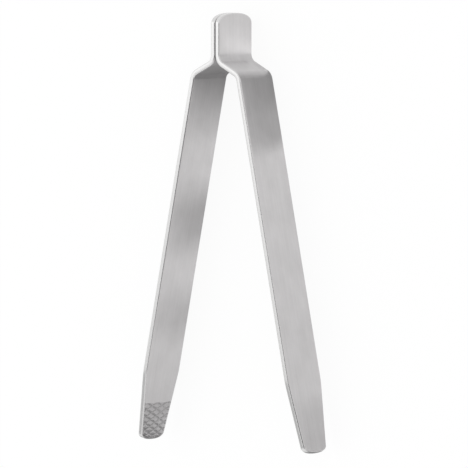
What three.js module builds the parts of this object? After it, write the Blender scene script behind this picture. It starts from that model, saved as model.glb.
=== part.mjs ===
// Kitchen tongs: two bent stainless straps, spot-welded face to face at the tab.
// Millimetres, +Z up. The tongs lie on the long edges of their straps, tab towards +X, tips towards -X.

import * as THREE from 'three';
import { mergeVertices } from 'three/addons/utils/BufferGeometryUtils.js';

// Strip
const overallLength = 240; // top of the tab to the ends of the tips
const stripWidth = 26.1;
const stripThickness = 3;
const edgeRadius = 0.7; // rounding of every long edge and end
const endFullness = 2.3; // power of the ends' outlines: 2 is an ellipse, more is squarer

// Tab and shoulder, measured on the middle surface of the strip
const tabSeam = 0.4; // space between the inner faces of the two tabs
const tabLength = 26.7; // top of the tab to the corner of the upper bend
const tabEndDepth = 6; // depth of the tab's rounded end
const shoulderReach = 15.6; // run of the shoulder away from the seam
const shoulderDrop = 7.25; // run of the shoulder towards the tips
const upperBendRadius = 4.5; // inside radius, on the outer face
const lowerBendRadius = 4; // inside radius, on the inner face

// Blade and tip
const bladeSplay = THREE.MathUtils.degToRad(12.7); // from the long axis of the tongs
const taperLength = 41.5;
const taperEase = 5; // stretch over which the taper sets in
const tipWidth = 16.9;
const tipEndDepth = 3.6; // depth of the tip's rounded end

// Criss-cross grip on the inner face of each tip
const gripLength = 21.3; // from the end of the tip
const gripMargin = 0.4; // plain steel left at the end of the tip
const gripDepth = 0.45;
const gripRows = 5.25; // diamonds along the tip
const gripColumns = 2.5; // diamonds across the tip
const gripGroove = 0.5; // share of the pitch that a groove takes, the rest is flat

// Flex line, where a blade bends against its shoulder
const flexSlit = 0.3;

// Spot welds in the seam
const weldDiameter = 6;
const weldSpacing = 8.6;

// Facets
const edgeSteps = 3;
const bendSteps = 6;
const endSteps = 8;
const easeSteps = 4;
const gripSteps = 8; // along and across one diamond
const weldSides = 32;

const stainless = new THREE.MeshStandardMaterial({ color: 0xb8b9bb, roughness: 0.36, metalness: 1 });
const weldSteel = new THREE.MeshStandardMaterial({ color: 0x8a8a8c, roughness: 0.55, metalness: 1 });

// The strap's middle line: tab, upper bend, shoulder, lower bend and blade
const halfThickness = stripThickness / 2;
const halfWidth = stripWidth / 2;
const shoulderTurn = Math.atan2(shoulderReach, shoulderDrop);
const upperRadius = upperBendRadius + halfThickness;
const lowerRadius = lowerBendRadius + halfThickness;
const lowerTurn = shoulderTurn - bladeSplay;
const upperTangent = upperRadius * Math.tan(shoulderTurn / 2);
const lowerTangent = lowerRadius * Math.tan(lowerTurn / 2);
const tabFlat = tabLength - upperTangent;
const shoulderFlat = Math.hypot(shoulderReach, shoulderDrop) - upperTangent - lowerTangent;

// The inner edge of the splayed tip is what reaches furthest along the tongs
const cornerHeight = overallLength - tabLength - shoulderDrop;
const edgeFlat = halfThickness - edgeRadius;
const tipOverhang = edgeRadius * (1 - Math.cos(bladeSplay)) + edgeFlat * Math.sin(bladeSplay);
const bladeFlat = (cornerHeight - tipOverhang) / Math.cos(bladeSplay) - lowerTangent;

const runs = [
  { length: tabFlat, from: 0, to: 0 },
  { length: upperRadius * shoulderTurn, from: 0, to: shoulderTurn, radius: upperRadius },
  { length: shoulderFlat, from: shoulderTurn, to: shoulderTurn },
  { length: lowerRadius * lowerTurn, from: shoulderTurn, to: bladeSplay, radius: -lowerRadius },
  { length: bladeFlat, from: bladeSplay, to: bladeSplay },
];
const strapLength = runs.reduce((sum, run) => sum + run.length, 0);
const flexLine = strapLength - bladeFlat;

// Place and heading of the middle line at a distance from the top of the tab
function middle(distance) {
  let along = overallLength / 2;
  let out = tabSeam / 2 + halfThickness;
  let left = distance;
  let turn = 0;
  for (const run of runs) {
    const isLast = run === runs[runs.length - 1];
    const step = isLast ? left : Math.min(left, run.length);
    turn = run.from + ((run.to - run.from) * step) / run.length;
    if (run.radius) {
      along -= run.radius * (Math.sin(turn) - Math.sin(run.from));
      out += run.radius * (Math.cos(run.from) - Math.cos(turn));
    } else {
      along -= step * Math.cos(turn);
      out += step * Math.sin(turn);
    }
    left -= step;
    if (left <= 0) break;
  }
  return { along, out, turn };
}

// A point of a strap: distance along the middle line, offset across the strip, lift towards the outer face
function strapPoint(side, distance, across, lift) {
  const { along, out, turn } = middle(distance);
  return new THREE.Vector3(
    along + lift * Math.sin(turn),
    side * (out + lift * Math.cos(turn)),
    halfWidth + across,
  );
}

// Share of the full width at a distance from an end that is rounded over the given depth
function roundedEnd(distance, depth) {
  const toFull = Math.max(1 - distance / depth, 0);
  return Math.max(1 - toFull ** endFullness, 0) ** (1 / endFullness);
}

// Half of the strip's width: a rounded end at the tab, parallel sides, a taper and a rounded tip
function outline(distance) {
  const taper = Math.max(distance - (strapLength - taperLength), 0);
  const slope = (halfWidth - tipWidth / 2) / (taperLength - taperEase / 2);
  const eased = Math.min(taper, taperEase);
  const narrowing = slope * (taper - eased + eased ** 2 / (2 * taperEase));
  const rounding = roundedEnd(distance, tabEndDepth) * roundedEnd(strapLength - distance, tipEndDepth);
  return (halfWidth - narrowing) * rounding;
}

// Outward normal of that outline, as its parts along and across the strip
function outlineNormal(distance) {
  const reach = 1e-4;
  const before = Math.max(distance - reach, 0);
  const after = Math.min(distance + reach, strapLength);
  return new THREE.Vector2(outline(before) - outline(after), after - before).normalize();
}

// Depth of the grip's grooves: V-cuts along two sets of slanting lines, with flat diamonds between them
const gripStart = strapLength - gripLength;
const gripEnd = strapLength - gripMargin;
function grooveDepth(distance, share) {
  const along = (gripRows * (distance - gripStart)) / (gripEnd - gripStart);
  if (along <= 0 || along >= gripRows) return 0;
  const across = (gripColumns * share) / 2;
  const toLine = (phase) => Math.abs(phase - Math.round(phase));
  const nearest = Math.min(toLine(along + across), toLine(along - across));
  return gripDepth * Math.max(1 - nearest / (gripGroove / 2), 0);
}

// Rounded edge of the strip, from its outer face to its inner one: inset from the outline, and lift
const outerQuarter = spread(0, Math.PI / 2, edgeSteps).map((angle) => ({
  inset: edgeRadius * (1 - Math.sin(angle)),
  lift: halfThickness - edgeRadius * (1 - Math.cos(angle)),
}));
const innerQuarter = outerQuarter.map(({ inset, lift }) => ({ inset, lift: -lift })).reverse();
const edgeProfile = [...outerQuarter, ...innerQuarter];

// Section of the strip at one distance: one edge, the columns of the inner face, and the other edge
function section(side, distance, columns) {
  const half = outline(distance);
  const normal = half > 0 ? outlineNormal(distance) : new THREE.Vector2(distance > 0 ? 1 : -1, 0);
  const corner = (share, { inset, lift }, depth) => {
    const across = share * Math.max(half - inset * normal.y, 0);
    return { point: strapPoint(side, distance - inset * normal.x, across, lift + depth), depth };
  };
  const edge = (share) => edgeProfile.map((place) => corner(share, place, 0));
  const shares = spread(1, -1, columns).slice(1, -1);
  const face = shares.map((share) => corner(share, innerQuarter[edgeSteps], grooveDepth(distance, share)));
  return [...edge(1), ...face, ...edge(-1).reverse()];
}

// Closed solid through the sections at the given distances
function loft(side, distances, columns) {
  const sections = distances.map((distance) => section(side, distance, columns));
  const ring = sections[0].length;
  const vertices = sections.flat();
  const corners = [];
  for (let row = 0; row + 1 < sections.length; row += 1) {
    for (let step = 0; step < ring; step += 1) {
      const a = row * ring + step;
      const b = row * ring + ((step + 1) % ring);
      const c = b + ring;
      const d = a + ring;
      // A quad is parted along the diagonal that lies deeper, so the floor of a groove runs straight
      const isDeeper = vertices[a].depth + vertices[c].depth >= vertices[b].depth + vertices[d].depth;
      corners.push(...(isDeeper ? [a, b, c, a, c, d] : [b, c, d, b, d, a]));
    }
  }

  // Ends: strips between the two edges, then a fan to the columns of the inner face
  const cap = [];
  const innerCorner = edgeProfile.length - 1;
  for (let step = 0; step + 1 < innerCorner; step += 1) {
    const facing = ring - 1 - step;
    cap.push(step, step + 1, facing - 1, step, facing - 1, facing);
  }
  for (let step = innerCorner; step < ring - innerCorner; step += 1) {
    cap.push(innerCorner - 1, step, step + 1);
  }
  corners.push(...[...cap].reverse(), ...cap.map((step) => vertices.length - ring + step));
  if (side > 0) corners.reverse();

  const positions = vertices.flatMap(({ point }) => point.toArray());
  const loose = new THREE.BufferGeometry();
  loose.setAttribute('position', new THREE.Float32BufferAttribute(positions, 3));
  loose.setIndex(corners);
  const geometry = mergeVertices(loose, 1e-4);
  const merged = Array.from(geometry.index.array);
  const kept = [];
  for (let first = 0; first < merged.length; first += 3) {
    const [a, b, c] = merged.slice(first, first + 3);
    if (a !== b && b !== c && c !== a) kept.push(a, b, c);
  }
  geometry.setIndex(kept);
  geometry.computeVertexNormals();
  return geometry;
}

// Evenly spaced values from one end to the other, both included
function spread(from, to, steps) {
  return Array.from({ length: steps + 1 }, (_, step) => from + ((to - from) * step) / steps);
}

// Distances in order, without those that fall on their neighbour
function ordered(distances) {
  const sorted = [...distances].sort((a, b) => a - b);
  return sorted.filter((distance, index) => index === 0 || distance - sorted[index - 1] > 1e-3);
}

// Distances into a rounded end, closer together where it turns fastest
function endDistances(depth) {
  return spread(0, Math.PI / 2, endSteps).map((angle) => depth * (1 - Math.cos(angle)));
}

// Tab and shoulder of one strap
function tabGeometry(side) {
  const upperBend = tabFlat + runs[1].length;
  const lowerBend = upperBend + shoulderFlat;
  return loft(side, ordered([
    ...endDistances(tabEndDepth),
    ...spread(tabFlat, upperBend, bendSteps),
    ...spread(lowerBend, flexLine, bendSteps),
  ]), 1);
}

// Blade of one strap, with its tapered tip and grip
function bladeGeometry(side) {
  const taperStart = strapLength - taperLength;
  const tipEnd = endDistances(tipEndDepth).map((distance) => strapLength - distance);
  return loft(side, ordered([
    flexLine + flexSlit,
    ...spread(taperStart, taperStart + taperEase, easeSteps),
    ...spread(gripStart, gripEnd, Math.round(gripRows * gripSteps)),
    ...tipEnd.filter((distance) => distance > gripEnd),
  ]), Math.round(gripColumns * gripSteps));
}

// One spot weld, a short disc that fills the seam
function spotWeld(name, distance) {
  const radius = weldDiameter / 2;
  const weld = new THREE.Mesh(new THREE.CylinderGeometry(radius, radius, tabSeam, weldSides), weldSteel);
  weld.name = name;
  weld.position.set(overallLength / 2 - distance, 0, halfWidth);
  return weld;
}

const tongs = new THREE.Group();
for (const [name, side] of [['left', 1], ['right', -1]]) {
  const tab = new THREE.Mesh(tabGeometry(side), stainless);
  tab.name = `${name}_tab`;
  const blade = new THREE.Mesh(bladeGeometry(side), stainless);
  blade.name = `${name}_blade`;
  tongs.add(tab, blade);
}
const weldMiddle = (tabEndDepth + tabFlat) / 2;
tongs.add(spotWeld('upper_spot_weld', weldMiddle - weldSpacing / 2));
tongs.add(spotWeld('lower_spot_weld', weldMiddle + weldSpacing / 2));

export default tongs;
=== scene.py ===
"""Kitchen tongs of brushed stainless steel: two bent straps, spot-welded face to face at the tab.

Metres, +Z up. The tongs lie on the long edges of their straps, with the tab towards +X and the tips
towards -X.
"""

import math

import bmesh
import bpy
import numpy as np
from bpy.props import FloatProperty, FloatVectorProperty, PointerProperty
from mathutils import Matrix, Vector


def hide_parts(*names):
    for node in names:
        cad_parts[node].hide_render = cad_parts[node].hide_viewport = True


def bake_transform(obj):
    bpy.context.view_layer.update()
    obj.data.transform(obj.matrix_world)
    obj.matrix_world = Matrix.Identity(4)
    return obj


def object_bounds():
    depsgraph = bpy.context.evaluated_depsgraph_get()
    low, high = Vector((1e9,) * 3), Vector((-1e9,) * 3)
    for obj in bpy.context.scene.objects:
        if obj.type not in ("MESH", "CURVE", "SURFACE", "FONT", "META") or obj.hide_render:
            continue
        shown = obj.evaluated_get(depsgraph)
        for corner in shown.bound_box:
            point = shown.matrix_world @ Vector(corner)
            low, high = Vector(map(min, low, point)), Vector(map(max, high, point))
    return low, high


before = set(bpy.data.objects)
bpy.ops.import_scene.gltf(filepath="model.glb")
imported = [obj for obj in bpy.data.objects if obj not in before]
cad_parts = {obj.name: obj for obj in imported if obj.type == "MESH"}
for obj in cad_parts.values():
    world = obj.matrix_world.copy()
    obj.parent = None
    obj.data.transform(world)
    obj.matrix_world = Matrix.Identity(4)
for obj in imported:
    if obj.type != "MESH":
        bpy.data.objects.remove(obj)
CAD_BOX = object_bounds()

bl_info = {
    "name": "Kitchen tongs",
    "version": (1, 0, 0),
    "blender": (4, 5, 0),
    "location": "View3D > Sidebar > Tongs",
    "description": "Builds a pair of sprung steel kitchen tongs around their packed solids",
    "category": "Add Mesh",
}

MM = 0.001
SIDES = {"left": 1, "right": -1}

# Grid of a strap
EDGE_STEPS = 6
DIAMOND_STEPS = 16
END_STEPS = 24
BEND_STEPS = 18
FLAT_STEPS = 6
EASE_STEPS = 6
BLADE_STEP = 3 * MM
LEAST_STEP = 0.001 * MM
NORMAL_REACH = 1e-4 * MM
MERGE_DISTANCE = 1e-4 * MM
SHARP_ANGLE = math.radians(34)

# Sizes of the steel's patterns along, across and through the strip, and of the welds' mottle
SMEAR_SIZE = (16 * MM, 9 * MM, 9 * MM)
SCRATCH_SIZE = (9 * MM, 0.3 * MM, 0.3 * MM)
MOTTLE_SIZE = (0.8 * MM, 0.8 * MM, 0.8 * MM)

# Streaks, in lengths and widths of the finest brush lines
STREAK_LENGTHS = 3
STREAK_WIDTHS = 6

# Levels of noise between which a pattern sets in, and the middle of the noise
SHADE_LEVELS = (0.32, 0.68)
SCRATCH_LEVELS = (0.68, 0.76)
MOTTLE_LEVELS = (0.3, 0.7)
NOISE_MIDDLE = 0.5

# Share of the finest lines in the grain, and of the grain in the tone
FINE_SHARE = 0.55
GRAIN_SHARE = 0.55

# How far scratches and the grip take their own colours, and how far the grooves take a painted shade
SCRATCH_TINT = 0.35
GRIP_TINT = 0.8
GROOVE_PAINTED_SHADE = 0.2

# Roughness that the patterns add, and the welds' own
GRAIN_ROUGHNESS = 0.16
SMEAR_ROUGHNESS = 0.12
GROOVE_ROUGHNESS = 0.14
WELD_ROUGHNESS = 0.45
MOTTLE_ROUGHNESS = 0.2

# Relief: scratches in depths of the grain, the bumps' strengths, and the depth of the welds' mottle
SCRATCH_DEPTH = 0.25
GRAIN_BUMP = 0.5
MOTTLE_BUMP = 0.4
MOTTLE_DEPTH = 0.05 * MM

# Stage, in metres, but the sensor in millimetres
FLOOR_REACH = 8
FLOOR_DROP = 0.2 * MM
FLOOR_GREY = 0.9
BACK_BOX_PLACE = (0.3, 1.0, 1.0)
BACK_BOX_SIZE = (0.6, 0.8)
SENSOR_WIDTH = 36
FAR_CLIP = 100

# Cards that only the steel's reflections see, in millimetres: corners, greys at places along the tongs,
# and for some a lean, the way along the tongs that a grey moves for each millimetre across them.
# A corner that gives no height has the one named here, just above the floor.
CARD_HEIGHT = -0.1
CARD_BLIND_RAYS = ("camera", "diffuse", "transmission", "volume_scatter", "shadow")
CARDS = {
    "blade_card": (
        ((91, -15), (96, -27), (110, -45), (55, -58), (44, -28)),
        ((44, 1), (53, 0.64), (66, 0.6), (77, 0.475), (110, 0.3)),
    ),
    "crotch_card": (
        ((94, 0), (86, 17), (44, 26), (31, 3), (84, -17)),
        ((32, 0.97), (51, 0.69), (81, 0.24)),
        0.6,
    ),
    "lower_bend_card": (
        ((88.9, -15.6, 0), (93, -34, 0), (93, -34, 26), (88.9, -15.6, 26)),
        ((88.9, 0.85), (90.2, 0.6), (93, 0.38)),
    ),
    "shoulder_card": (
        ((89, -14), (96.8, -14), (96.8, -3.5), (92.5, -3.5)),
        ((89, 0.75), (97, 0.85)),
    ),
    "upper_bend_card": (
        ((97.1, -3.5, 0), (99.1, -30, 0), (99.1, -30, 26), (97.1, -3.5, 26)),
        ((97.1, 0.78), (97.7, 0.9), (99.1, 1.3)),
    ),
    "tab_card": (
        ((120, -3), (120, -30), (98.6, -30), (97.2, -26), (97.2, -3)),
        ((90, 1.35), (103, 1.07), (111, 0.97)),
        -0.3,
    ),
    "left_bend_card": (
        ((83, 16.3, 0), (77, 0, 0), (77, 0, 26), (83, 16.3, 26)),
        ((77, 0.45), (83, 0.3)),
    ),
    "opening_card": (
        ((34, 28), (20, 4.5), (-35, 17), (-21, 40.5)),
        ((-44, 1), (-25, 0.65), (-9, 0.65), (13, 1)),
        0.6,
    ),
    "opening_grey": (
        ((-27, 41.5), (-41, 18.5), (-121, 36.5), (-107, 59)),
        ((-144, 0.83), (-100, 0.92), (-83, 0.76), (-73, 0.76), (-52, 1)),
        0.6,
    ),
    "right_tip_card": (
        ((-88, -58), (-80, -80), (-113, -88), (-121, -65)),
        ((-121, 0.75), (-95, 0.82), (-80, 1)),
    ),
    "tip_card": (
        ((-123, -120), (-160, -120), (-160, 120), (-123, 120)),
        ((-123, 0.35),),
    ),
    "left_front_card": (
        ((30, -1010, 370), (30, -210, 1170), (-550, -210, 1170), (-550, -1010, 370)),
        ((30, 0.05),),
    ),
    "right_front_card": (
        ((250, -1010, 370), (250, -210, 1170), (90, -210, 1170), (90, -1010, 370)),
        ((90, 0.05),),
    ),
    "rear_card": (
        ((-200, 850, 500), (-200, 500, 850), (-600, 500, 850), (-600, 850, 500)),
        ((-200, 0.6),),
    ),
}

# Places of a Mix node's colours among its sockets
MIX_FACTOR, MIX_FIRST, MIX_SECOND, MIX_RESULT = 0, 6, 7, 2


def size(name, millimetres, description):
    """A length property, with its default in millimetres."""
    return FloatProperty(
        name=name, description=description, default=millimetres * MM, min=0, unit="LENGTH")


def angle(name, degrees, description):
    """An angle property, with its default in degrees."""
    return FloatProperty(
        name=name, description=description, default=math.radians(degrees), subtype="ANGLE")


def share(name, value, description):
    """A plain number from 0 to 1."""
    return FloatProperty(
        name=name, description=description, default=value, min=0, max=1, subtype="FACTOR")


def level(name, value, description):
    """A plain number that may pass 1."""
    return FloatProperty(name=name, description=description, default=value, min=0)


def colour(name, value, description):
    """A linear colour property."""
    return FloatVectorProperty(
        name=name, description=description, default=value, size=3, subtype="COLOR")


class StrapSizes(bpy.types.PropertyGroup):
    """Sizes of one strap, measured on the middle surface of its strip"""

    width: FloatProperty(
        name="Strip width",
        description="Width of the strip that each strap is bent from",
        default=CAD_BOX[1].z - CAD_BOX[0].z,
        unit="LENGTH",
    )
    top: FloatProperty(
        name="Top of the tab",
        description="Place of the tab's end along the tongs",
        default=CAD_BOX[1].x,
        unit="LENGTH",
    )
    length: size("Length", 240, "From the top of the tab to the ends of the tips")
    thickness: size("Strip thickness", 3.0, "Thickness of the strip")
    edge_radius: size("Edge radius", 0.7, "Rounding of every long edge and end")
    end_fullness: level(
        "End fullness", 2.3, "Power of the ends' outlines: 2 is an ellipse, more is squarer")
    seam: size("Tab seam", 0.4, "Space between the inner faces of the two tabs")
    tab_length: size("Tab length", 26.7, "Top of the tab to the corner of the upper bend")
    tab_end_depth: size("Tab end depth", 6, "Depth of the tab's rounded end")
    shoulder_reach: size("Shoulder reach", 15.6, "Run of the shoulder away from the seam")
    shoulder_drop: size("Shoulder drop", 7.25, "Run of the shoulder towards the tips")
    upper_bend: size("Upper bend radius", 4.5, "Inside radius, on the outer face")
    lower_bend: size("Lower bend radius", 4, "Inside radius, on the inner face")
    splay: angle("Blade splay", 12.7, "Angle of a blade from the long axis of the tongs")
    taper_length: size("Taper length", 41.5, "Stretch over which the tip narrows")
    taper_ease: size("Taper ease", 5, "Stretch over which the taper sets in")
    tip_width: size("Tip width", 16.9, "Width that the taper would reach at the end of the tip")
    tip_end_depth: size("Tip end depth", 3.6, "Depth of the tip's rounded end")
    grip_length: size("Grip length", 21.3, "Start of the criss-cross grip, from the end of the tip")
    grip_margin: size("Grip margin", 0.4, "Plain steel left at the end of the tip")
    grip_depth: size("Grip depth", 0.45, "Depth of the grooves")
    grip_rows: level("Grip rows", 5.25, "Diamonds along the tip")
    grip_columns: level("Grip columns", 2.5, "Diamonds across the tip")
    grip_groove: share("Grip groove", 0.5, "Share of the pitch that a groove takes, the rest is flat")
    flex_stretch: size(
        "Flex stretch", 14, "How far the bend of a pressed strap spreads to each side of its flex line")


class SteelFinish(bpy.types.PropertyGroup):
    """Colours and polish of the steel"""

    pale: colour("Pale steel", (0.637, 0.624, 0.628), "Crests of the brushed grain")
    dark: colour("Dark steel", (0.527, 0.516, 0.518), "Hollows of the brushed grain")
    # Edge steel is paler partly from the polish of the tumbled edges and partly as a painted highlight on
    # them.
    edge: colour("Edge steel", (0.7, 0.696, 0.694), "Polished long edges and ends")
    grip: colour("Grip steel", (0.44, 0.431, 0.434), "Pressed flats of the grip's diamonds")
    # Groove steel is painted shade: it darkens the grooves towards their floors.
    groove: colour("Groove steel", (0.26, 0.257, 0.255), "Floor of the grip's grooves")
    weld: colour("Weld steel", (0.22, 0.2, 0.18), "Heat-dulled steel of the spot welds")
    face_roughness: share("Face roughness", 0.36, "Roughness of the brushed faces")
    edge_roughness: share("Edge roughness", 0.22, "Roughness of the tumbled edges")
    grain_width: size("Grain width", 0.16, "Width of the finest brush lines")
    grain_length: size("Grain length", 22, "Length of the finest brush lines")
    grain_depth: size("Grain depth", 0.006, "Depth of the finest brush lines")


class StageSetup(bpy.types.PropertyGroup):
    """Camera, lamp, room and floor"""

    turn: angle(
        "Camera turn", 44.485, "Camera's angle round the long axis of the tongs, from their flat")
    rise: angle("Camera rise", 3.59, "Camera's angle above the square view, towards the tab")
    distance: size("Camera distance", 3959, "From the middle of the tongs")
    aim_right: size(
        "Aim to the right", 1.46, "Shift of the camera to the right, in the plane of the picture")
    aim_down: size("Aim down", 2.32, "Shift of the camera down, in the plane of the picture")
    lens: level("Lens", 551, "Focal length on a 36 mm sensor, in millimetres")
    floor_white: share(
        "Floor white", 0.9, "Share of the floor's brightness that shadows leave alone")
    room_light: level(
        "Room light", 1.1, "Radiance of the room as it lights the floor; seen or mirrored, it is white")
    back_light: level("Back light", 0.4, "Radiance of the soft box behind the tongs")


def strap_runs(sizes):
    """Length, first heading and last heading of the five runs of the middle line, from the tab's top.

    The shoulder's heading is the angle of its reach and drop. Each bend takes a tangent length of its
    radius times the tangent of half its turn off both of its neighbours.
    """
    half = sizes.thickness / 2
    shoulder = math.atan2(sizes.shoulder_reach, sizes.shoulder_drop)
    upper = sizes.upper_bend + half
    lower = sizes.lower_bend + half
    lower_turn = shoulder - sizes.splay
    upper_tangent = upper * math.tan(shoulder / 2)
    lower_tangent = lower * math.tan(lower_turn / 2)
    shoulder_run = math.hypot(sizes.shoulder_reach, sizes.shoulder_drop)
    shoulder_flat = shoulder_run - upper_tangent - lower_tangent
    edge_flat = half - sizes.edge_radius
    overhang = sizes.edge_radius * (1 - math.cos(sizes.splay)) + edge_flat * math.sin(sizes.splay)
    corner_height = sizes.length - sizes.tab_length - sizes.shoulder_drop
    blade_flat = (corner_height - overhang) / math.cos(sizes.splay) - lower_tangent
    return [
        (sizes.tab_length - upper_tangent, 0, 0),
        (upper * shoulder, 0, shoulder),
        (shoulder_flat, shoulder, shoulder),
        (lower * lower_turn, shoulder, sizes.splay),
        (blade_flat, sizes.splay, sizes.splay),
    ]


def strap_length(sizes):
    """Length of the middle line, the sum of its runs."""
    return sum(run[0] for run in strap_runs(sizes))


def middle_line(sizes, distance):
    """Place along the tongs, place out from the mid-plane and heading, at distances from the tab's top.

    A straight run goes on along its heading. A bent one turns evenly, on a radius of its length over its
    turn, so it goes along by the radius times the change of the heading's sine, and out by the change of
    its cosine.
    """
    along = np.full_like(distance, sizes.top)
    out = np.full_like(distance, sizes.seam / 2 + sizes.thickness / 2)
    heading = np.zeros_like(distance)
    reached = 0
    for length, first, last in strap_runs(sizes):
        step = np.clip(distance - reached, 0, length)
        turned = first + (last - first) * step / length
        if first == last:
            along = along - step * math.cos(first)
            out = out + step * math.sin(first)
        else:
            radius = length / (last - first)
            along = along - radius * (np.sin(turned) - math.sin(first))
            out = out + radius * (math.cos(first) - np.cos(turned))
        heading = heading + turned - first
        reached += length
    return along, out, heading


def rounded_end(sizes, distance, depth):
    """Share of the full width near an end: a superellipse, (1 - (1 - distance / depth)^p)^(1 / p)."""
    to_full = np.maximum(1 - distance / depth, 0)
    power = sizes.end_fullness
    return np.maximum(1 - to_full**power, 0) ** (1 / power)


def outline(sizes, distance):
    """Half of the strip's width: two rounded ends, parallel sides, and a taper that sets in gently.

    The taper narrows by its slope times the way into it, less half of the stretch over which it sets in.
    """
    end = strap_length(sizes)
    half = sizes.width / 2
    slope = (half - sizes.tip_width / 2) / (sizes.taper_length - sizes.taper_ease / 2)
    taper = np.maximum(distance - (end - sizes.taper_length), 0)
    eased = np.minimum(taper, sizes.taper_ease)
    narrowing = slope * (taper - eased + eased**2 / (2 * sizes.taper_ease))
    tab_end = rounded_end(sizes, distance, sizes.tab_end_depth)
    tip_end = rounded_end(sizes, end - distance, sizes.tip_end_depth)
    return (half - narrowing) * tab_end * tip_end


def outline_normal(sizes, distance):
    """Outward normal of the outline, as its parts along and across the strip.

    It is square to the outline's rise over a tiny reach, and points straight along at the very ends.
    """
    before = np.maximum(distance - NORMAL_REACH, 0)
    after = np.minimum(distance + NORMAL_REACH, strap_length(sizes))
    along = outline(sizes, before) - outline(sizes, after)
    across = np.where(outline(sizes, distance) > 0, after - before, 0)
    along = np.where(across > 0, along, np.where(distance > 0, 1, -1))
    length = np.hypot(along, across)
    return along / length, across / length


def groove_share(sizes, distance, width_share):
    """How deep the grip is cut: 0 on the flat of a diamond, rising evenly to 1 on a V-groove's floor.

    The grooves run where the way along the grip, plus or minus the way across it, is a whole number of
    diamonds.
    """
    into_grip = distance - strap_length(sizes) + sizes.grip_length
    along = sizes.grip_rows * into_grip / (sizes.grip_length - sizes.grip_margin)
    across = sizes.grip_columns * width_share / 2
    rising, falling = along + across, along - across
    nearest = np.minimum(np.abs(rising - np.round(rising)), np.abs(falling - np.round(falling)))
    depth = np.maximum(1 - nearest / (sizes.grip_groove / 2), 0)
    return np.where((along > 0) & (along < sizes.grip_rows), depth, 0)


def strap_rows(sizes):
    """Distances of the grid's rows, closer in the ends, the bends, the taper's start and the grip."""
    tab, upper, shoulder, lower, blade = (run[0] for run in strap_runs(sizes))
    flex = tab + upper + shoulder + lower
    tip = flex + blade
    taper = tip - sizes.taper_length
    grip_start, grip_end = tip - sizes.grip_length, tip - sizes.grip_margin
    turn = np.linspace(0, math.pi / 2, END_STEPS + 1)
    tip_end = tip - sizes.tip_end_depth * (1 - np.cos(turn))
    rows = np.concatenate([
        sizes.tab_end_depth * (1 - np.cos(turn)),
        np.linspace(sizes.tab_end_depth, tab, FLAT_STEPS),
        np.linspace(tab, tab + upper, BEND_STEPS + 1),
        np.linspace(tab + upper, flex - lower, FLAT_STEPS),
        np.linspace(flex - lower, flex, BEND_STEPS + 1),
        np.arange(flex, taper, BLADE_STEP),
        np.linspace(taper, taper + sizes.taper_ease, EASE_STEPS),
        np.arange(taper + sizes.taper_ease, grip_start, BLADE_STEP),
        np.linspace(grip_start, grip_end, round(sizes.grip_rows * DIAMOND_STEPS) + 1),
        tip_end[tip_end > grip_end],
    ])
    rows = np.sort(rows)
    return rows[np.diff(rows, prepend=-1) > LEAST_STEP]


def strap_columns(sizes):
    """Columns round the strip's section: share of the width, inset from the outline and lift outwards.

    The columns of the flat faces are evenly spread, in step with the grip's diamonds. A quarter circle of
    the edge radius r, at an angle q from the face, has an inset of r (1 - sin q) and drops r (1 - cos q)
    below the face.
    """
    radius = sizes.edge_radius
    half = sizes.thickness / 2
    quarter = np.linspace(0, math.pi / 2, EDGE_STEPS + 1)
    inset = radius * (1 - np.sin(quarter))
    lift = half - radius * (1 - np.cos(quarter))
    edge_inset = np.concatenate([inset, inset[::-1]])
    edge_lift = np.concatenate([lift, -lift[::-1]])
    face = np.linspace(-1, 1, round(sizes.grip_columns * DIAMOND_STEPS) + 1)[1:-1]
    flat = np.ones_like(face)
    edge = np.ones_like(edge_inset)
    return (
        np.concatenate([face, edge, -face, -edge]),
        np.concatenate([radius * flat, edge_inset, radius * flat, edge_inset]),
        np.concatenate([half * flat, edge_lift, -half * flat, -edge_lift]),
    )


def strap_surface(sizes, side):
    """Grid of one strap: rows of distance from the top of the tab, columns round the section.

    The columns' insets run along the outline's normal, so the ends are as round as the long edges. The
    flat of the inner face is raised to the floor of the grip's grooves. The middle line then carries each
    point: along plus the lift times the heading's sine, and out plus the lift times its cosine.
    Returns the points, the same points on the flat strip before it was bent, and the finish's masks: 1 on
    an edge, 1 on the grip's end of the inner face, and the depth of the grooves.
    """
    distance = strap_rows(sizes)[:, None]
    width_share, inset, lift = strap_columns(sizes)
    normal_along, normal_across = outline_normal(sizes, distance)
    flat_along = distance - inset * normal_along
    flat_across = width_share * np.maximum(outline(sizes, distance) - inset * normal_across, 0)
    inner = (lift < 0) & (np.abs(width_share) < 1)
    groove = groove_share(sizes, distance, width_share) * inner
    grip = inner * (distance > distance[-1] - sizes.grip_length)
    flat_lift = lift + sizes.grip_depth * groove
    along, out, heading = middle_line(sizes, flat_along)
    points = np.stack([
        along + flat_lift * np.sin(heading),
        side * (out + flat_lift * np.cos(heading)),
        sizes.width / 2 + flat_across,
    ], axis=-1)
    strip = np.stack([flat_along, flat_across, side * flat_lift], axis=-1)
    edge = np.broadcast_to(1 - inset / sizes.edge_radius, groove.shape)
    return points, strip, edge, grip, groove


def grid_faces(depth):
    """Corners of the faces of a grid whose columns close on themselves.

    A face is a quad, but where it is cut it is two triangles, parted along the deeper of its diagonals, so
    that the floor of a groove runs straight.
    """
    corner = np.arange(depth.size).reshape(depth.shape)
    beside = np.roll(corner, -1, axis=1)
    quads = np.stack([corner[:-1], beside[:-1], beside[1:], corner[1:]], axis=-1).reshape(-1, 4)
    deep = depth.ravel()[quads]
    cut = deep.any(axis=1)
    turned = deep[:, 0] + deep[:, 2] < deep[:, 1] + deep[:, 3]
    parted = np.where(turned[:, None], np.roll(quads, -1, axis=1), quads)[cut]
    return [*quads[~cut].tolist(), *parted[:, [0, 1, 2]].tolist(), *parted[:, [0, 2, 3]].tolist()]


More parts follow.
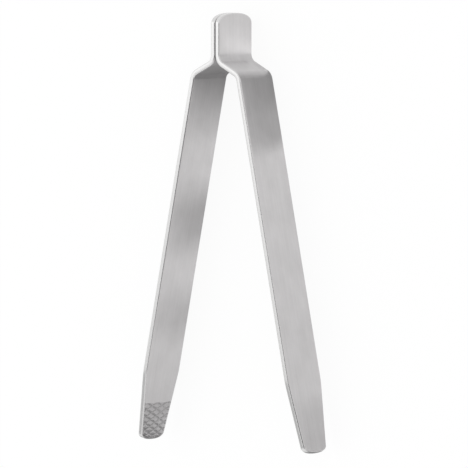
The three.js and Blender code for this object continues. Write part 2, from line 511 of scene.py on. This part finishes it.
def grid_mesh(name, points, depth, attributes):
    """A closed mesh through a grid of points, its doubled points merged and its faces turned outwards."""
    mesh = bpy.data.meshes.new(name)
    mesh.from_pydata(points.reshape(-1, 3).tolist(), [], grid_faces(depth))
    for title, kind, values in attributes:
        field = "vector" if kind == "FLOAT_VECTOR" else "value"
        data = mesh.attributes.new(title, kind, "POINT").data
        data.foreach_set(field, values.astype(np.float32).ravel())
    build = bmesh.new()
    build.from_mesh(mesh)
    bmesh.ops.remove_doubles(build, verts=build.verts, dist=MERGE_DISTANCE)
    bmesh.ops.recalc_face_normals(build, faces=build.faces)
    build.to_mesh(mesh)
    build.free()
    mesh.shade_smooth()
    mesh.set_sharp_from_angle(angle=SHARP_ANGLE)
    return mesh


class Wire:
    """An output socket of a node tree. Sums, differences and products of wires and numbers add Math nodes."""

    def __init__(self, tree, socket=None):
        self.tree = tree
        self.socket = socket

    def node(self, kind, settings=None, inputs=None, output=0):
        """Adds a node, sets its settings, then fills or links its inputs, and returns one output."""
        made = self.tree.nodes.new(kind)
        for name, value in (settings or {}).items():
            setattr(made, name, value)
        for name, value in (inputs or {}).items():
            if isinstance(value, Wire):
                self.tree.links.new(value.socket, made.inputs[name])
            else:
                made.inputs[name].default_value = value
        return Wire(self.tree, made.outputs[output] if made.outputs else None)

    def math(self, operation, first, second):
        """A Math node on two wires or numbers."""
        return self.node("ShaderNodeMath", {"operation": operation}, {0: first, 1: second})

    def __add__(self, other):
        return self.math("ADD", self, other)

    __radd__ = __add__

    def __sub__(self, other):
        return self.math("SUBTRACT", self, other)

    def __rsub__(self, other):
        return self.math("SUBTRACT", other, self)

    def __mul__(self, other):
        return self.math("MULTIPLY", self, other)

    __rmul__ = __mul__

    def step(self, low, high):
        """0 below low, 1 above high and an even ramp between them."""
        return self.node("ShaderNodeMapRange", inputs={"Value": self, "From Min": low, "From Max": high})

    def mix(self, first, second):
        """A colour from first to second, by this wire."""
        colours = {MIX_FACTOR: self, MIX_FIRST: first, MIX_SECOND: second}
        return self.node("ShaderNodeMix", {"data_type": "RGBA"}, colours, MIX_RESULT)

    def stretched(self, lengths):
        """This vector measured in the given lengths along its three axes."""
        scale = tuple(1 / length for length in lengths)
        return self.node("ShaderNodeVectorMath", {"operation": "MULTIPLY"}, {0: self, 1: scale})

    def noise(self, detail, roughness):
        """Noise of about one wave a unit on this vector."""
        values = {"Vector": self, "Scale": 1, "Detail": detail, "Roughness": roughness}
        return self.node("ShaderNodeTexNoise", inputs=values)

    def bump(self, strength, distance):
        """The normal of a surface whose height is this wire."""
        values = {"Strength": strength, "Distance": distance, "Height": self}
        return self.node("ShaderNodeBump", inputs=values)


def new_material(name):
    """A material with an empty node tree, and a wire to start from."""
    material = bpy.data.materials.new(name)
    material.use_nodes = True
    material.node_tree.nodes.clear()
    return material, Wire(material.node_tree)


def opaque(rgb):
    """A colour as a socket's four numbers."""
    return (*rgb, 1)


def neutral(grey):
    """A grey as a socket's four numbers."""
    return opaque((grey, grey, grey))


def add_metal(shade, roughness, normal):
    """Ends a material as bare metal."""
    values = {"Base Color": shade, "Metallic": 1, "Roughness": roughness, "Normal": normal}
    surface = shade.node("ShaderNodeBsdfPrincipled", inputs=values)
    shade.node("ShaderNodeOutputMaterial", inputs={"Surface": surface})


def strap_steel(finish):
    """Stainless strip, brushed lengthwise before it was bent, with tumbled edges and cut grooves, a painted
    highlight in the edges' paler colour and painted shade in the grooves.
    """
    material, start = new_material("strap_steel")
    strip = start.node("ShaderNodeAttribute", {"attribute_name": "strip"}, output="Vector")
    edge = start.node("ShaderNodeAttribute", {"attribute_name": "edge"}, output="Fac")
    grip = start.node("ShaderNodeAttribute", {"attribute_name": "grip"}, output="Fac")
    groove = start.node("ShaderNodeAttribute", {"attribute_name": "groove"}, output="Fac")

    length, width = finish.grain_length, finish.grain_width
    streak_length, streak_width = STREAK_LENGTHS * length, STREAK_WIDTHS * width
    fine = strip.stretched((length, width, width)).noise(detail=3, roughness=0.6)
    streak = strip.stretched((streak_length, streak_width, streak_width)).noise(detail=2, roughness=0.55)
    smear = strip.stretched(SMEAR_SIZE).noise(detail=3, roughness=0.6)
    scratch = strip.stretched(SCRATCH_SIZE).noise(detail=1, roughness=0.5).step(*SCRATCH_LEVELS)

    grain = FINE_SHARE * fine + (1 - FINE_SHARE) * streak
    face = 1 - edge
    tone = GRAIN_SHARE * grain + (1 - GRAIN_SHARE) * smear
    shade = tone.step(*SHADE_LEVELS).mix(opaque(finish.dark), opaque(finish.pale))
    shade = (SCRATCH_TINT * scratch).mix(shade, opaque(finish.pale))
    # The edges' paler colour is partly polished steel and partly a painted highlight.
    shade = edge.mix(shade, opaque(finish.edge))
    shade = (GRIP_TINT * grip).mix(shade, opaque(finish.grip))
    # Painted shade: the grooves darken towards their floors, by their depth.
    shade = (GROOVE_PAINTED_SHADE * groove).mix(shade, opaque(finish.groove))

    uneven = GRAIN_ROUGHNESS * (grain - NOISE_MIDDLE) + SMEAR_ROUGHNESS * (smear - NOISE_MIDDLE)
    roughness = finish.edge_roughness + (finish.face_roughness - finish.edge_roughness) * face
    roughness = roughness + face * uneven + GROOVE_ROUGHNESS * groove
    height = face * grain - SCRATCH_DEPTH * scratch
    add_metal(shade, roughness, height.bump(GRAIN_BUMP, finish.grain_depth))
    return material


def weld_steel(finish):
    """Spot-weld nugget, dulled by its heat and mottled."""
    material, start = new_material("weld_steel")
    place = start.node("ShaderNodeTexCoord", output="Object")
    mottle = place.stretched(MOTTLE_SIZE).noise(detail=4, roughness=0.6)
    shade = mottle.step(*MOTTLE_LEVELS).mix(opaque(finish.weld), opaque(finish.dark))
    roughness = WELD_ROUGHNESS + MOTTLE_ROUGHNESS * mottle
    add_metal(shade, roughness, mottle.bump(MOTTLE_BUMP, MOTTLE_DEPTH))
    return material


class TONGS_OT_straps(bpy.types.Operator):
    """Bend the two straps, each one continuous strip from tab to tip"""

    bl_idname = "tongs.straps"
    bl_label = "Straps"

    def execute(self, context):
        sizes = context.scene.tongs_strap
        steel = strap_steel(context.scene.tongs_steel)
        flex_line = sum(run[0] for run in strap_runs(sizes)[:-1])
        along, out, _ = middle_line(sizes, np.array([flex_line]))
        for name, side in SIDES.items():
            points, strip, edge, grip, groove = strap_surface(sizes, side)
            attributes = [
                ("strip", "FLOAT_VECTOR", strip),
                ("edge", "FLOAT", edge),
                ("grip", "FLOAT", grip),
                ("groove", "FLOAT", groove),
            ]
            mesh = grid_mesh(f"{name}_strap", points, groove, attributes)
            mesh.materials.append(steel)
            strap = bpy.data.objects.new(f"{name}_strap", mesh)
            context.scene.collection.objects.link(strap)
            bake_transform(strap)
            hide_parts(f"{name}_tab", f"{name}_blade")
        return {"FINISHED"}


class TONGS_OT_welds(bpy.types.Operator):
    """Give the spot welds in the seam their heat-dulled steel"""

    bl_idname = "tongs.welds"
    bl_label = "Spot welds"

    def execute(self, context):
        steel = weld_steel(context.scene.tongs_steel)
        for place in ("upper", "lower"):
            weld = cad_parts[f"{place}_spot_weld"]
            weld.data.materials.clear()
            weld.data.materials.append(steel)
        return {"FINISHED"}


def background_seen(start):
    """1 on the rays that see the background as it is: the camera's, and those sent on by metal or glass."""
    camera, glossy, glass = (
        start.node("ShaderNodeLightPath", output=f"Is {kind} Ray")
        for kind in ("Camera", "Glossy", "Transmission")
    )
    return start.math("MAXIMUM", start.math("MAXIMUM", camera, glossy), glass)


def floor_material(setup):
    """White floor: where it is seen or mirrored, a share of its brightness is its own, the rest is lit."""
    material, start = new_material("white_floor")
    seen = background_seen(start)
    lit = start.node("ShaderNodeBsdfDiffuse", inputs={"Color": neutral(FLOOR_GREY)})
    own = start.node("ShaderNodeEmission", inputs={"Color": neutral(1), "Strength": 1})
    surface = start.node("ShaderNodeMixShader", inputs={0: setup.floor_white * seen, 1: lit, 2: own})
    start.node("ShaderNodeOutputMaterial", inputs={"Surface": surface})
    return material


def card_material(name, greys, lean):
    """A card's own light: its first grey, then an even ramp to each next one.

    The ramps go by the place along the tongs, less the lean times the place across them.
    """
    material, start = new_material(name)
    tone = neutral(greys[0][1])
    if len(greys) > 1:
        place = start.node("ShaderNodeTexCoord", output="Object")
        x, y = (start.node("ShaderNodeSeparateXYZ", inputs={"Vector": place}, output=axis) for axis in "XY")
        along = x - lean * y
        for (low, _), (high, grey) in zip(greys, greys[1:]):
            tone = along.step(low * MM, high * MM).mix(tone, neutral(grey))
    surface = start.node("ShaderNodeEmission", inputs={"Color": tone, "Strength": 1})
    start.node("ShaderNodeOutputMaterial", inputs={"Surface": surface})
    return material


def add_flat(context, name, corners, material):
    """A flat piece of the stage, one face through its corners."""
    mesh = bpy.data.meshes.new(name)
    mesh.from_pydata(corners, [], [range(len(corners))])
    mesh.materials.append(material)
    flat = bpy.data.objects.new(name, mesh)
    context.scene.collection.objects.link(flat)
    return flat


def add_floor(context, setup, height):
    """A wide square floor, just below the tongs so that their long edges don't cut it."""
    reach = FLOOR_REACH
    below = height - FLOOR_DROP
    corners = [(-reach, -reach, below), (reach, -reach, below), (reach, reach, below), (-reach, reach, below)]
    floor = add_flat(context, "floor", corners, floor_material(setup))


def add_card(context, name, corners, greys, lean=0):
    """A flat card that only the steel's reflections see, on the floor where its corners have no height."""
    places = [(*corner, CARD_HEIGHT)[:3] for corner in corners]
    places = [(MM * x, MM * y, MM * z) for x, y, z in places]
    card = add_flat(context, name, places, card_material(name, greys, lean))
    for ray in CARD_BLIND_RAYS:
        setattr(card, f"visible_{ray}", False)


def room_world(setup):
    """Even pale room, white where it is seen or mirrored."""
    world = bpy.data.worlds.new("white_room")
    world.use_nodes = True
    world.node_tree.nodes.clear()
    start = Wire(world.node_tree)
    seen = background_seen(start)
    strength = setup.room_light + (1 - setup.room_light) * seen
    room = start.node("ShaderNodeBackground", inputs={"Color": neutral(1), "Strength": strength})
    start.node("ShaderNodeOutputWorld", inputs={"Surface": room})
    return world


def add_back_box(context, setup, centre):
    """The soft box behind the tongs, turned to them. Its power is its radiance times its area and pi."""
    width, height = BACK_BOX_SIZE
    place = Vector(BACK_BOX_PLACE)
    lamp = bpy.data.lights.new("back_box", "AREA")
    lamp.shape = "RECTANGLE"
    lamp.size = width
    lamp.size_y = height
    lamp.energy = setup.back_light * math.pi * width * height
    box = bpy.data.objects.new("back_box", lamp)
    box.location = place
    box.rotation_euler = (centre - place).to_track_quat("-Z", "Y").to_euler()
    box.visible_camera = False
    context.scene.collection.objects.link(box)


def add_camera(context, setup, centre):
    """Camera turned about the long axis of the tongs, with the tab towards the top of the picture."""
    turn, rise = setup.turn, setup.rise
    right = Vector((0, -math.cos(turn), -math.sin(turn)))
    ahead = Vector((
        -math.sin(rise),
        math.sin(turn) * math.cos(rise),
        -math.cos(turn) * math.cos(rise),
    ))
    up = right.cross(ahead)
    view = Matrix((right, up, -ahead)).transposed().to_4x4()
    view.translation = centre - setup.distance * ahead + setup.aim_right * right - setup.aim_down * up
    data = bpy.data.cameras.new("camera")
    data.lens = setup.lens
    data.sensor_width = SENSOR_WIDTH
    data.clip_end = FAR_CLIP
    camera = bpy.data.objects.new("camera", data)
    camera.matrix_world = view
    context.scene.collection.objects.link(camera)
    context.scene.camera = camera


class TONGS_OT_stage(bpy.types.Operator):
    """Set the floor, the room, the lamp, the cards and the camera"""

    bl_idname = "tongs.stage"
    bl_label = "Stage"

    def execute(self, context):
        scene = context.scene
        setup = scene.tongs_stage
        scene.view_settings.view_transform = "Standard"
        low, high = CAD_BOX
        centre = Vector((0, 0, (low.z + high.z) / 2))
        add_floor(context, setup, low.z)
        scene.world = room_world(setup)
        add_back_box(context, setup, centre)
        for name, settings in CARDS.items():
            add_card(context, name, *settings)
        add_camera(context, setup, centre)
        return {"FINISHED"}


class TONGS_PT_sidebar(bpy.types.Panel):
    """Sizes, finish and stage of the tongs"""

    bl_label = "Kitchen tongs"
    bl_idname = "TONGS_PT_sidebar"
    bl_space_type = "VIEW_3D"
    bl_region_type = "UI"
    bl_category = "Tongs"

    def draw(self, context):
        layout = self.layout
        for group in GROUPS:
            settings = getattr(context.scene, group)
            column = layout.column(align=True)
            for name in settings.bl_rna.properties.keys():
                if name not in ("rna_type", "name"):
                    column.prop(settings, name)
        for operator in OPERATORS:
            layout.operator(operator.bl_idname)


OPERATORS = (TONGS_OT_straps, TONGS_OT_welds, TONGS_OT_stage)
GROUPS = {"tongs_strap": StrapSizes, "tongs_steel": SteelFinish, "tongs_stage": StageSetup}


def register():
    for made in (*GROUPS.values(), *OPERATORS, TONGS_PT_sidebar):
        bpy.utils.register_class(made)
    for name, group in GROUPS.items():
        setattr(bpy.types.Scene, name, PointerProperty(type=group))


def unregister():
    for name in GROUPS:
        delattr(bpy.types.Scene, name)
    for made in (TONGS_PT_sidebar, *reversed(OPERATORS), *GROUPS.values()):
        bpy.utils.unregister_class(made)


def main():
    register()
    bpy.ops.tongs.straps()
    bpy.ops.tongs.welds()
    bpy.ops.tongs.stage()


if __name__ == "__main__":
    main()
